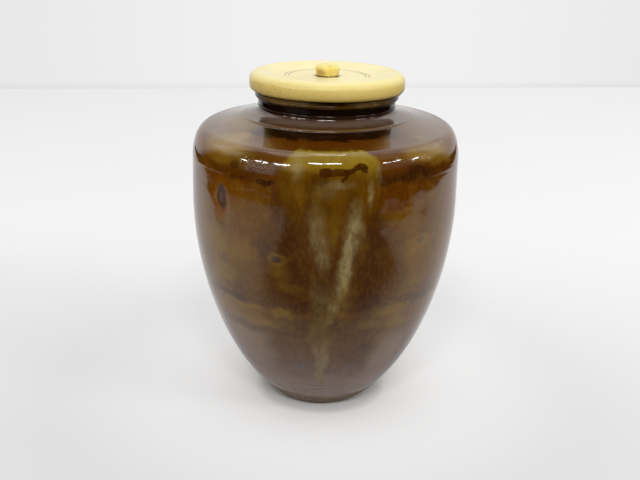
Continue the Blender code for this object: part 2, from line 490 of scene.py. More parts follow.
def lidOutline(s):
    crest = (s["lid"] - s["upperRounding"][0], s["rise"])
    dish = s["rise"] - s["dish"]
    bore, seat = dish - s["boreDepth"], dish - s["seatDepth"]
    points = [(0, bore), (s["bore"], bore), (s["bore"], seat), (s["seat"], seat), (s["seat"], dish - 0.06)]
    points.append((s["seat"] + 0.08, dish))
    last = points[-1]
    for middle in s["grooves"]:
        near = (middle - s["grooveWidth"], dish)
        points += linePoints(last, near, 8)
        for step in range(-3, 4):
            depth = s["grooveDepth"] * (0.5 + 0.5 * math.cos(math.pi * step / 4))
            points.append((middle + s["grooveWidth"] * step / 4, dish - depth))
        last = (middle + s["grooveWidth"], dish)
        points.append(last)
    edge = (crest[0] * s["dishShare"], dish)
    points += linePoints(last, edge, 2)
    points += curvePoints(edge, crest, s["dishPulls"], 18)
    across, up = s["upperRounding"]
    points += arcPoints((crest[0], s["rise"] - up), across, up, 90, 0, 18)[1:]
    across, up = s["lowerRounding"]
    points += linePoints(points[-1], (s["lid"], up), 5)[:-1]
    points += arcPoints((s["lid"] - across, up), across, up, 0, -90, 8)
    points += linePoints(points[-1], (s["plug"], 0), 10)
    turn = s["plugRounding"]
    points += arcPoints((s["plug"] - turn, turn - s["plugRise"]), turn, turn, 0, -90, 4)
    points += [(s["recess"], -s["plugRise"]), (s["recess"], s["recessDepth"] - s["plugRise"])]
    points += linePoints(points[-1], (0, s["recessDepth"] - s["plugRise"]), 12)
    return points


knobShape = {"base": 2.8, "waist": 0.30, "head": 3.0, "rise": 2.8, "crown": 1.75, "peg": 1.2, "pegRise": 2.3}


def knobOutline(s):
    # A short peg head: nearly straight sides and a low crown with a rounded edge
    points = [(0, s["rise"])]
    points += curvePoints((0, s["rise"]), (s["head"], s["crown"]), ((0.62, 0), (0, -0.62)), 18)
    points += curvePoints((s["head"], s["crown"]), (s["base"], s["waist"]), ((0, 0.4), (0.2, -0.4)), 8)
    points += [(s["base"] - 0.02, 0.12), (s["base"] - 0.12, 0), (s["peg"], 0)]
    points += linePoints(points[-1], (s["peg"], -s["pegRise"]), 4)
    points.append((0, -s["pegRise"]))
    return points


leafShape = {"radius": 12.7, "thickness": 0.2, "bevel": (0.1, 0.04)}


def leafOutline(s):
    edge, top = s["radius"] - s["bevel"][0], s["thickness"]
    points = [(0, top)] + linePoints((0, top), (edge, top), 24)
    points += [(s["radius"], top - s["bevel"][1]), (s["radius"], s["bevel"][1])]
    return points + linePoints((edge, 0), (0, 0), 24)


# Geometry Nodes
def named(tree, name, sort="FLOAT"):
    return addNode(tree, "GeometryNodeInputNamedAttribute", {"Name": name}, data_type=sort)[0]


def endTree(tree, shape, finish, leave):
    real = addNode(tree, "GeometryNodeRealizeInstances", {0: shape})[0]
    feed(addNode(tree, "GeometryNodeSetMaterial", {"Geometry": real, "Material": finish})[0], leave[0])
    return tree


def turnedTree():
    # Turns an outline into a closed solid: columns of points go round the axis, one row for each outline point
    tree, entry, leave = newGroup(
        "turned on the wheel", "GeometryNodeTree",
        {"Outline": "Geometry", "Sides": 64, "Ridge height": 0.0, "Ridge spacing": 0.004, "Ridge wander": 0.7,
         "Join distance": 0.00001, "Finish": "Material"}, {"Turned": "Geometry"})
    rows = addNode(tree, "GeometryNodeAttributeDomainSize", {0: entry["Outline"]})["Point Count"]
    grid = addNode(tree, "GeometryNodeMeshGrid", {"Vertices X": entry["Sides"] + 1, "Vertices Y": rows})[0]
    index = addNode(tree, "GeometryNodeInputIndex")[0]
    column = calc("FLOOR", (index + 0.5) / rows)
    row = index - column * rows

    def along(name, sort="FLOAT"):
        values = {"Geometry": entry["Outline"], "Value": named(tree, name, sort), "Index": row}
        return addNode(tree, "GeometryNodeSampleIndex", values, data_type=sort)[0]

    radius, _, level = split(along("position", "FLOAT_VECTOR"))
    outR, _, outZ = split(along("outward", "FLOAT_VECTOR"))
    turn = column * math.tau / entry["Sides"]
    sine, cosine = calc("SINE", turn), calc("COSINE", turn)
    wander = entry["Ridge wander"]
    ridge = noise(combine(sine * wander, cosine * wander, level / entry["Ridge spacing"]), 1.0)[0]
    lift = (ridge - 0.5) * entry["Ridge height"] * along("relief")
    radius, level = radius + outR * lift, level + outZ * lift
    spot = combine(-(radius * sine), radius * cosine, level)
    kept = addNode(tree, "GeometryNodeSetPosition", {"Geometry": grid, "Position": spot})[0]
    for name in ("relief", "skin", "reach", "height", "melt"):
        kept = addNode(tree, "GeometryNodeStoreNamedAttribute",
                       {"Geometry": kept, "Name": name, "Value": along(name)})[0]
    joined = addNode(tree, "GeometryNodeMergeByDistance", {"Geometry": kept, "Distance": entry["Join distance"]})[0]
    smooth = addNode(tree, "GeometryNodeSetShadeSmooth", {0: joined})[0]
    return endTree(tree, smooth, entry["Finish"], leave)


def unevenTree(make):
    # Makes a turned piece uneven: slow waves all over, and oval marks that stand proud or are sunk
    tree, entry, leave = newGroup(
        make["wear"], "GeometryNodeTree",
        {"Piece": "Geometry", "Wave height": 0.0, "Wave size": 0.02, "Mark edge": 1.6, "Dip at front": 0.0,
         "Rise at right": 0.0, "Seed": 0.0, "Finish": "Material"}, {"Uneven piece": "Geometry"})
    spot = addNode(tree, "GeometryNodeInputPosition")[0]
    x, y, z = split(spot)
    azimuth, level, radius = azimuthOf(x, y), z / mm, distance(x, y)
    shifted = addTo({0: spot, 1: combine(entry["Seed"])}, "ShaderNodeVectorMath", operation="ADD")[0]
    lift = (noise(shifted, 1 / entry["Wave size"], 1.0)[0] - 0.5) * entry["Wave height"]
    for atAzimuth, atLevel, wide, high, rise in make["marks"]:
        aside, above = (azimuth - atAzimuth) / wide, (level - atLevel) / high
        far = aside * aside + above * above
        lift = lift + ease(far, entry["Mark edge"], 0.0) * (rise * mm)
    foot, shoulder = make.get("foot"), make.get("shoulder")
    if foot:
        # the glaze stops above the foot in a rolled, wandering edge
        stray = (noise(spot, 1 / (foot["wanderSize"] * mm))[0] - 0.5) * foot["wander"]
        above = level + stray - foot["level"]
        bare = ease(above, *foot["bareEdge"])
        roll = ease(abs(above - foot["rollAt"]), foot["rollWidth"], 0.0) * (foot["roll"] * mm)
        lift = lift + (roll - bare * (foot["step"] * mm))
    normal = addNode(tree, "GeometryNodeInputNormal")[0]
    push = addTo({0: normal, "Scale": lift * named(tree, "relief")}, "ShaderNodeVectorMath", operation="SCALE")[0]
    if shoulder:
        # the shoulder isn't quite level, and the collar's roll melts into it at the sides and the back
        turn = calc("RADIANS", azimuth)
        lean = calc("SINE", turn) * entry["Rise at right"] - calc("COSINE", turn) * entry["Dip at front"]
        lean = lean * (ease(level, *shoulder["from"]) * ease(level, *shoulder["to"]))
        outer = largest((radius - shoulder["inner"] * mm) / (shoulder["width"] * mm), 0)
        melt = named(tree, "melt") * (ease(abs(azimuth), *shoulder["meltFrom"]) * mm)
        push = addTo({0: push, 1: combine(0, 0, lean * outer + melt)}, "ShaderNodeVectorMath", operation="ADD")[0]
    last = addNode(tree, "GeometryNodeSetPosition", {"Geometry": entry["Piece"], "Offset": push})[0]
    if foot:
        # the wheel wire leaves off-centre curls on the foot's flat face
        offX, offY = (part - at * mm for part, at in zip((x, y), foot["curlCentre"]))
        swirl = distance(offX, offY) * (math.tau / (foot["curlSpacing"] * mm)) + calc("ARCTAN2", offY, offX)
        groove = (calc("SINE", swirl) + 1) * (foot["curlDepth"] * mm / 2) * ease(named(tree, "skin"), 1.5, 2.0)
        inner, outer = (edge * mm for edge in foot["curlEdge"])
        groove = groove * ease(radius, outer, inner)
        last = addNode(tree, "GeometryNodeSetPosition", {"Geometry": last, "Offset": combine(0, 0, groove)})[0]
    return endTree(tree, last, entry["Finish"], leave)


def addTree(piece, tree, values):
    modifier = piece.modifiers.new(tree.name, "NODES")
    modifier.node_group = tree
    for item in tree.interface.items_tree:
        if item.item_type == "SOCKET" and item.in_out == "INPUT" and item.name in values:
            modifier[item.identifier] = values[item.name]


def settle(piece):
    # The live trees become a plain mesh
    graph = bpy.context.evaluated_depsgraph_get()
    mesh = bpy.data.meshes.new_from_object(piece.evaluated_get(graph), preserve_all_data_layers=True, depsgraph=graph)
    piece.modifiers.clear()
    old = piece.data
    piece.data = mesh
    bpy.data.meshes.remove(old)
    mesh.name = piece.name
    # the grid is wound round the axis with its faces towards the clay, so they are turned outwards
    mesh.flip_normals()


def outlineObject(name, outline, level, reliefOf, skinOf=lambda i, z: 1.0, meltOf=lambda r, z: 0.0):
    # A line of points, with the way out of the clay and how freely each may move
    mesh = bpy.data.meshes.new(name)
    points = [(r * mm, 0, z * mm + level) for r, z in outline]
    mesh.from_pydata(points, [(i, i + 1) for i in range(len(points) - 1)], [])
    kept = mesh.attributes
    kept.new("outward", "FLOAT_VECTOR", "POINT")
    for label in ("skin", "relief", "reach", "height", "melt"):
        kept.new(label, "FLOAT", "POINT")
    for i, (r, z) in enumerate(outline):
        before, after = outline[max(i - 1, 0)], outline[min(i + 1, len(outline) - 1)]
        run = Vector((after[0] - before[0], after[1] - before[1])).normalized()
        kept["outward"].data[i].vector = (-run.y, 0, run.x)
        values = {"skin": skinOf(i, z), "relief": reliefOf(i, r, z), "reach": r, "height": z, "melt": meltOf(r, z)}
        for label, value in values.items():
            kept[label].data[i].value = value
    return newObject(name, mesh)


turned = turnedTree()
print("turning tree built")


# Shader node groups that several finishes share
def wallPlaceGroup():
    # Azimuth in degrees from the front and level in mm, each led astray by noise
    tree, entry, leave = newGroup(
        "place on a turned wall", "ShaderNodeTree",
        {"Position": "Vector", "Wander": 0.0, "Wander size": 5.0, "Least radius": 0.004},
        {"Azimuth": "Float", "Level": "Float"})
    x, y, z = split(entry["Position"])
    stray = noise(entry["Position"], 1 / mm / entry["Wander size"])["Color"]
    aside, up, _ = addNode(tree, "ShaderNodeSeparateColor", {0: stray})
    reach = entry["Wander"] * 2
    degrees = math.degrees(mm) / largest(distance(x, y), entry["Least radius"])
    feed(azimuthOf(x, y) + (aside - 0.5) * reach * degrees, leave["Azimuth"])
    feed(z / mm + (up - 0.5) * reach, leave["Level"])
    return tree


def ovalGroup():
    # An oval on a turned wall, and the soft halo round it
    names = ("Azimuth", "Level", "At azimuth", "At level", "Half width", "Half height", "Lean", "Softness")
    tree, entry, leave = newGroup(
        "oval mark", "ShaderNodeTree", {**{name: 0.0 for name in names}, "Halo outside": 2.3, "Halo inside": 0.9},
        {"Mask": "Float", "Halo": "Float"})
    above = entry["Level"] - entry["At level"]
    aside = (entry["Azimuth"] - entry["At azimuth"] - entry["Lean"] * above) / entry["Half width"]
    far = distance(aside, above / entry["Half height"])
    feed(ease(far, 1 + entry["Softness"], 1 - entry["Softness"]), leave["Mask"])
    feed(ease(far, entry["Halo outside"], entry["Halo inside"]), leave["Halo"])
    return tree


def cloudGroup():
    # Soft clouds of noise; a stretch above 1 pulls them into upright runs
    tree, entry, leave = newGroup(
        "clouds and runs", "ShaderNodeTree",
        {"Position": "Vector", "Size": 5.0, "Stretch": 1.0, "Detail": 3.0, "Low": 0.35, "High": 0.65, "Seed": 0.0,
         "Roughness": 0.55}, {"Amount": "Float"})
    x, y, z = split(entry["Position"])
    grain = 1 / mm / entry["Size"]
    spot = combine(x * grain + entry["Seed"], y * grain, z * grain / entry["Stretch"])
    amount = noise(spot, 1.0, entry["Detail"], Roughness=entry["Roughness"])[0]
    feed(ease(amount, entry["Low"], entry["High"]), leave["Amount"])
    return tree


def speckGroup():
    # Scattered specks: pinholes, grit and freckles
    tree, entry, leave = newGroup(
        "specks", "ShaderNodeTree",
        {"Position": "Vector", "Spacing": 2.0, "Size": 0.2, "Share": 0.3, "Smallest": 0.4, "Core": 0.4},
        {"Mask": "Float"})
    grain = 1 / mm / entry["Spacing"]
    cells = addNode(tree, "ShaderNodeTexVoronoi", {"Vector": entry["Position"], "Scale": grain})
    chance, other, _ = addNode(tree, "ShaderNodeSeparateColor", {0: cells["Color"]})
    size = entry["Size"] * (entry["Smallest"] + other)
    mask = ease(cells["Distance"] * entry["Spacing"], size, size * entry["Core"])
    feed(mask * calc("LESS_THAN", chance, entry["Share"]), leave["Mask"])
    return tree


wallPlace, oval, clouds, specks = wallPlaceGroup(), ovalGroup(), cloudGroup(), speckGroup()


def wallOf(spot, wander, size):
    return place(wallPlace, {"Position": spot, "Wander": wander, "Wander size": size})


def patch(led, where, wide, high, lean=0.0, soft=0.25):
    return place(oval, {
        "Azimuth": led["Azimuth"], "Level": led["Level"], "At azimuth": where[0], "At level": where[1],
        "Half width": wide, "Half height": high, "Lean": lean, "Softness": soft})


def cloud(spot, size, stretch=1.0, low=0.35, high=0.65, seed=0.0, detail=3.0):
    return place(clouds, {"Position": spot, "Size": size, "Stretch": stretch, "Low": low, "High": high,
                          "Seed": seed, "Detail": detail})[0]


def speck(spot, spacing, size, share):
    return place(specks, {"Position": spot, "Spacing": spacing, "Size": size, "Share": share})[0]


def newFinish(name, **constants):
    made = bpy.data.materials.new(name)
    made.use_nodes = True
    shader = made.node_tree.nodes["Principled BSDF"]
    for label, value in constants.items():
        feed(value, shader.inputs[label])
    return made, objectPlace(made.node_tree), shader.inputs


def finishWith(sockets, colour, rough, height, depth):
    # The depth is in mm
    bump = addTo({"Height": height, "Distance": depth * mm, "Strength": 1.0}, "ShaderNodeBump")[0]
    for label, value in (("Base Color", colour), ("Roughness", rough), ("Normal", bump)):
        feed(value, sockets[label])


# The iron glaze; colours are linear, places are (azimuth, level)
glaze = {
    "dark": (0.036, 0.009, 0.001), "pool": (0.026, 0.007, 0.001), "yellow": (0.205, 0.12, 0.01),
    "amber": (0.145, 0.046, 0.0005), "rust": (0.074, 0.018, 0.0003), "straw": (0.3, 0.2, 0.06),
    "khaki": (0.2, 0.118, 0.034), "mist": (0.26, 0.2, 0.15), "frost": (0.32, 0.265, 0.12),
    "spot": (0.042, 0.022, 0.017), "clay": (0.18, 0.128, 0.078), "inside": (0.09, 0.04, 0.012),
    "bluish": (0.075, 0.066, 0.072), "poolAtCollar": (0.007, 0.0018, 0.0002), "blot": (0.04, 0.01, 0.0003),
    "darkClay": (0.115, 0.078, 0.046), "grit": (0.07, 0.045, 0.03),
    # colours by level, on the wall and on the neck
    "tones": [
        (0, (0.15, 0.105, 0.08)), (6, (0.172, 0.122, 0.098)), (9.6, (0.172, 0.12, 0.098)),
        (13.5, (0.128, 0.082, 0.062)), (17.3, (0.1, 0.055, 0.038)), (21, (0.096, 0.046, 0.021)),
        (26, (0.098, 0.041, 0.008)), (34, (0.097, 0.037, 0.002)), (41, (0.1, 0.038, 0.002)),
        (47, (0.112, 0.046, 0.003)), (54, (0.108, 0.042, 0.002)), (58, (0.108, 0.039, 0.001)),
        (61, (0.095, 0.03, 0.0005)), (66, (0.09, 0.025, 0.0005)), (68.5, (0.125, 0.046, 0.001)),
        (71.3, (0.095, 0.031, 0.001)), (75, (0.09, 0.034, 0.004))],
    # on the neck: the pale purplish band at 74.45 to 74.9 is a purplish glaze with a painted sheen of the lamps on
    # the collar's roll, and the near-black from 75.6 to 77.6 is painted shade under the lip
    "neckTones": [
        (73.5, (0.08, 0.032, 0.004)), (73.8, (0.105, 0.046, 0.006)), (74.05, (0.075, 0.034, 0.012)),
        (74.45, (0.12, 0.078, 0.056)), (74.9, (0.095, 0.056, 0.038)), (75.25, (0.055, 0.022, 0.008)),
        (75.6, (0.018, 0.006, 0.002)), (75.95, (0.024, 0.01, 0.005)), (76.3, (0.006, 0.002, 0.0005)),
        (77.6, (0.006, 0.002, 0.0005)), (78, (0.04, 0.018, 0.002)), (78.45, (0.052, 0.024, 0.002)),
        (78.75, (0.016, 0.005, 0.0005)), (79.1, (0.022, 0.008, 0.001)), (79.5, (0.018, 0.006, 0.001))],
    "levelSpan": 80.0, "neckStart": 73.0, "neckSpan": 7.0,
    # the flow down the front: azimuth of each edge by level, and its colour by level
    "flowLeft": [
        (8, 0), (12, -2), (17, -2.8), (25, -4.2), (34, -5), (44, -7), (50, -10), (56, -14), (61, -18), (66, -17),
        (70, -14), (71.6, -4)],
    "flowRight": [
        (8, 0), (12, 2.8), (17, 4.6), (25, 6.5), (34, 11), (44, 14), (50, 16), (56, 19), (61, 22.5), (66, 23),
        (70, 21), (71.6, 12)],
    "flowTones": [
        (8, (0.15, 0.105, 0.08)), (12, (0.165, 0.116, 0.062)), (17.3, (0.168, 0.12, 0.064)),
        (23.9, (0.118, 0.07, 0.024)), (26.4, (0.08, 0.038, 0.006)), (30, (0.052, 0.02, 0.002)),
        (36, (0.048, 0.016, 0.001)), (42, (0.054, 0.018, 0.001)), (48, (0.06, 0.02, 0.001)),
        (54, (0.068, 0.024, 0.001)), (58, (0.08, 0.03, 0.001)), (62, (0.1, 0.042, 0.0005)),
        (65, (0.085, 0.034, 0.0005)), (66.5, (0.11, 0.05, 0.001)), (68, (0.215, 0.13, 0.006)),
        (71, (0.25, 0.17, 0.014))],
    "flowSpan": (-30.0, 30.0),
    # bands left by the maker's fingers, where the glaze lies thicker: level, half height, strength
    "bands": [
        (65.2, 1.1, 0.35), (37, 0.9, 0.32), (34.6, 1.3, 0.78), (26.4, 1.1, 0.45), (51.5, 1, 0.14)],
    # large soft areas: (azimuth, level), half width, half height, colour, strength
    "areas": [
        ((-14, 45), 12, 15, "dark", 0.65), ((20, 42), 8, 13, "dark", 0.8), ((3, 25), 24, 6, "dark", 0.3),
        ((-14, 27), 12, 5, "dark", 0.25), ((16, 26), 11, 7, "dark", 0.35), ((24, 20), 11, 4, "dark", 0.3),
        ((0, 39), 12, 6, "dark", 0.35), ((-13, 50), 4, 9, "dark", 0.45), ((20, 54), 6, 5, "dark", 0.6),
        ((-25, 47.5), 4, 3, "dark", 0.6), ((32, 48), 5, 3, "dark", 0.5), ((-12, 42.5), 5, 3, "dark", 0.5),
        ((32, 42), 5, 4, "dark", 0.5), ((18, 36), 6, 2.5, "dark", 0.6), ((-7, 29.5), 5, 2, "dark", 0.5),
        ((11, 29.5), 5, 2, "dark", 0.5), ((47, 54), 6, 4, "dark", 0.25), ((-50, 63.5), 11, 6.5, "amber", 0.95),
        ((-36, 60.5), 9, 3.2, "amber", 0.35), ((-38, 65), 12, 1.9, "rust", 0.75), ((-48, 62), 8, 5, "rust", 0.55),
        ((-44, 68), 12, 2.4, "yellow", 0.45), ((48, 69.5), 14, 1.6, "yellow", 0.4),
        ((56, 67.5), 6, 1.4, "yellow", 0.55), ((36, 65), 16, 2.3, "pool", 0.92), ((31, 67.6), 9, 1.9, "rust", 0.7),
        ((-28, 67.6), 12, 2.6, "dark", 0.42), ((-48, 69.9), 13, 1.5, "straw", 0.6),
        ((50, 69.8), 11, 1.3, "straw", 0.5), ((0, 72.3), 44, 1.7, "rust", 0.85),
        ((-70, 72.9), 26, 1.3, "khaki", 0.75), ((-62, 71.6), 18, 1, "khaki", 0.35),
        ((70, 72.2), 20, 2, "khaki", 0.25), ((-35, 47), 6, 2.5, "yellow", 0.22), ((-18, 43), 5, 2.4, "yellow", 0.3),
        ((-36, 32.6), 8, 1.4, "yellow", 0.35), ((-18, 32.6), 5, 1.4, "yellow", 0.4),
        ((32, 32.6), 9, 1.6, "yellow", 0.32), ((-15, 39), 6, 1.2, "yellow", 0.22), ((-46, 40), 7, 2, "yellow", 0.25),
        ((38, 47.5), 9, 2, "yellow", 0.12), ((22, 29), 5, 1.2, "yellow", 0.2), ((-31, 29), 6, 2, "yellow", 0.32),
        ((38, 28.5), 6, 2, "yellow", 0.3), ((-52, 46), 6, 5, "yellow", 0.25), ((-40, 21), 13, 7, "mist", 0.34),
        ((38, 19), 11, 6, "mist", 0.34), ((-52, 33), 9, 7, "straw", 0.18)],
    # dark runs in the flow, and stains on the lip: (azimuth, level), half width, half height, strength
    "runs": [
        ((-18.5, 59), 2.6, 4, 0.5), ((-6, 60), 2.2, 3.5, 0.4), ((0.5, 60), 1.8, 3, 0.25), ((11, 60), 2.4, 3.5, 0.45),
        ((-12.5, 51), 3.5, 7, 0.45), ((-13, 42.5), 4, 3, 0.35), ((-1, 43), 3.5, 3.5, 0.5), ((-9, 36), 4, 2.5, 0.25),
        ((20, 36.5), 5, 2.5, 0.4), ((17, 49), 4, 6, 0.25)],
    "lipStains": [((-36, 78.95), 24, 0.75, 0.6), ((38, 78.95), 20, 0.75, 0.35)],
    # small firm marks: (azimuth, level), half width, half height, lean, colour, strength
    "marks": [
        ((-18.6, 46.2), 2.6, 0.85, 0, "spot", 0.85), ((-45.4, 43.6), 1.7, 1.7, 0, "spot", 0.5),
        ((43, 49.6), 2.6, 0.8, 0, "spot", 0.45), ((28, 34), 2.8, 0.75, 2, "spot", 0.6),
        ((41, 34.1), 2.4, 0.7, 0, "spot", 0.55), ((23.5, 30.4), 1.2, 0.5, 0, "spot", 0.45),
        ((-32, 33.4), 1.3, 0.4, 0, "spot", 0.4), ((33, 57.5), 1.2, 0.6, 0, "spot", 0.3),
        ((-24, 63.7), 4.4, 0.62, 0, "pool", 0.9), ((-38, 63.8), 3.6, 0.55, 4, "pool", 0.5),
        ((-39, 66.6), 2.6, 1, 0, "dark", 0.6), ((41.5, 61.8), 3.8, 2.7, 0, "rust", 0.8),
        ((28.5, 60.9), 7.2, 3.5, 0, "rust", 0.88), ((53, 63.2), 6, 1.6, 0, "rust", 0.6),
        ((22, 22.8), 1.8, 0.8, 0, "pool", 0.5), ((-46.5, 58), 5.4, 5, 0, "amber", 0.85),
        # the small clay-coloured dot in the bead's dark core is a painted highlight
        ((-45.8, 58.3), 3.3, 3, 0, "pool", 0.85), ((-46.4, 58), 0.8, 1.4, 0, "clay", 0.22),
        ((-2, 65.4), 3.4, 1.5, 0, "dark", 0.5), ((0.3, 66.9), 2.3, 0.95, 0, "blot", 0.95),
        ((4.8, 66.9), 4.4, 0.75, 0, "blot", 0.85), ((9.4, 67), 2.8, 0.75, 0.8, "blot", 0.9),
        ((12.4, 67.8), 2, 0.95, 1, "blot", 0.9), ((14.8, 68), 2.3, 0.8, 0, "blot", 0.9),
        ((15.6, 67.3), 1.4, 0.7, 0, "blot", 0.85), ((8.2, 65.9), 1, 0.9, 1.6, "blot", 0.9),
        ((39, 23.6), 2.4, 0.8, 0, "bluish", 0.3), ((51, 24.2), 2.2, 0.7, 0, "bluish", 0.25),
        ((-11, 16.4), 3, 0.9, 0, "bluish", 0.4), ((18, 16.2), 3.4, 0.8, 0, "bluish", 0.3),
        ((-28, 22.2), 1.4, 0.7, 0, "bluish", 0.25), ((-48, 19.4), 2, 0.6, 0, "bluish", 0.2),
        ((-4, 9.4), 24, 0.35, 0, "bluish", 0.45), ((10, 7.9), 26, 0.3, 0, "bluish", 0.4)],
    # where the glaze blistered and sparkles: (azimuth, level), half width, half height
    "blistered": [
        ((-29, 67.2), 9, 1.6), ((43, 67.5), 8, 2), ((30, 68.6), 5, 1), ((34, 74.4), 14, 0.9), ((-20, 74.6), 10, 0.8),
        ((-58, 72.6), 6, 0.5), ((45, 73.2), 6, 0.4)],
    # where the glaze is mellower: (azimuth, level), half width, half height, strength
    "mellow": [
        ((-46.4, 58), 4.4, 5, 1), ((-42, 61), 13, 5.5, 0.7), ((30, 61), 9, 5, 0.65)],
    # frosted streaks in the flow: (azimuth, level) at the middle, half width, half height, lean, strength
    "streaks": [
        ((-2.6, 54.8), 3, 4.2, -0.2, 0.22), ((-1.4, 50), 3, 4.2, -0.2, 0.28), ((0, 46.5), 2.2, 3, -0.2, 0.2),
        ((11.8, 54), 3.2, 5, 0.15, 0.5), ((10.4, 49.5), 2, 4, 0.1, 0.55), ((9.2, 44.5), 2.6, 3.4, 0.15, 0.62),
        ((8.3, 39.8), 2.2, 2.8, 0.3, 0.38), ((6.6, 35.6), 1.8, 2.2, 0.4, 0.12), ((5, 36.5), 6.5, 4.2, 0.1, 0.12),
        ((4.2, 32.2), 1.8, 2.4, 0.4, 0.28), ((0.6, 33.5), 3.6, 3.2, 0, 0.14), ((-2.6, 37), 2.2, 4, 0, 0.12),
        ((-11, 67.8), 2.4, 2.2, 0, 0.34), ((18, 62), 1.1, 2.2, 0, 0.42), ((4.5, 64.3), 5.5, 0.9, 0, 0.34),
        ((0.5, 62.6), 4, 1.6, 0, 0.12), ((21.5, 67), 1, 2.4, 0, 0.25)],
    # noise that leads places astray: mm, size
    "slowStray": (2.6, 7.0), "quickStray": (0.9, 2.2), "fineStray": (0.18, 2.5),
    "clayWander": 2.2, "clayWanderSize": 6,
    # specks: spacing, size, share
    "pits": (3.4, 0.16, 0.25), "gritSpecks": (0.9, 0.2, 0.3), "bubbles": (0.62, 0.34, 0.75),
    # clouds: size, stretch, low, high, seed, detail
    "veils": {
        "golden": (9, 1.3, 0.4, 0.72, 3), "shade": (8, 1.2, 0.45, 0.75, 11), "band": (14, 0.6, 0.35, 0.6),
        "fray": (2.2, 1, 0.3, 0.7, 25), "fibre": (1.5, 9, 0.36, 0.66, 5), "glint": (3.5, 3, 0.45, 0.75, 8),
        "comb": (0.9, 1.8, 0.36, 0.62, 2), "combGaps": (2.6, 1.5, 0.32, 0.62, 33),
        "crystals": (0.9, 1.6, 0.4, 0.7, 21), "threads": (1.6, 3, 0.45, 0.75, 31), "ragged": (2.6, 1, 0.3, 0.7, 15),
        "clay": (1.2, 1, 0.3, 0.7, 41), "gloss": (4, 1, 0.4, 0.7, 51), "swell": (3.2, 1, 0.2, 0.8, 61, 2),
        "peel": (0.8, 1, 0.2, 0.8, 71, 2), "coarse": (0.35, 1, 0.3, 0.7, 81)},
    # where things start and end: levels, distances from the axis or azimuths
    "edges": {
        "golden": (17, 30), "goldenTop": (70, 72), "flow": (-1.2, 2.6), "flowReach": (28.5, 29.3),
        "flowTop": (66, 64), "fibre": (56, 50), "grain": (67, 63), "poolInside": (20.5, 20.9),
        "poolOutside": (25, 23.6), "poolAbove": (69.5, 70.5), "poolBelow": (73.75, 73.55), "poolTurn": (58, 34),
        "neckTurn": (84, 52), "neckBehind": (73.9, 75.6), "neckFront": (73.5, 73.62), "outside": (0.3, 0.7),
        "clay": (4.45, 4.15), "groove": (75.3, 75.9), "calm": (69, 71), "rollBelow": (73.9, 74.3),
        "rollAbove": (75.3, 74.9)},
    "sheen": (0.5, 0.14), "roughness": (0.06, 0.11), "clayRoughness": 0.85,
}


def tint(below, name, share):
    return blend(share, below, glaze[name])


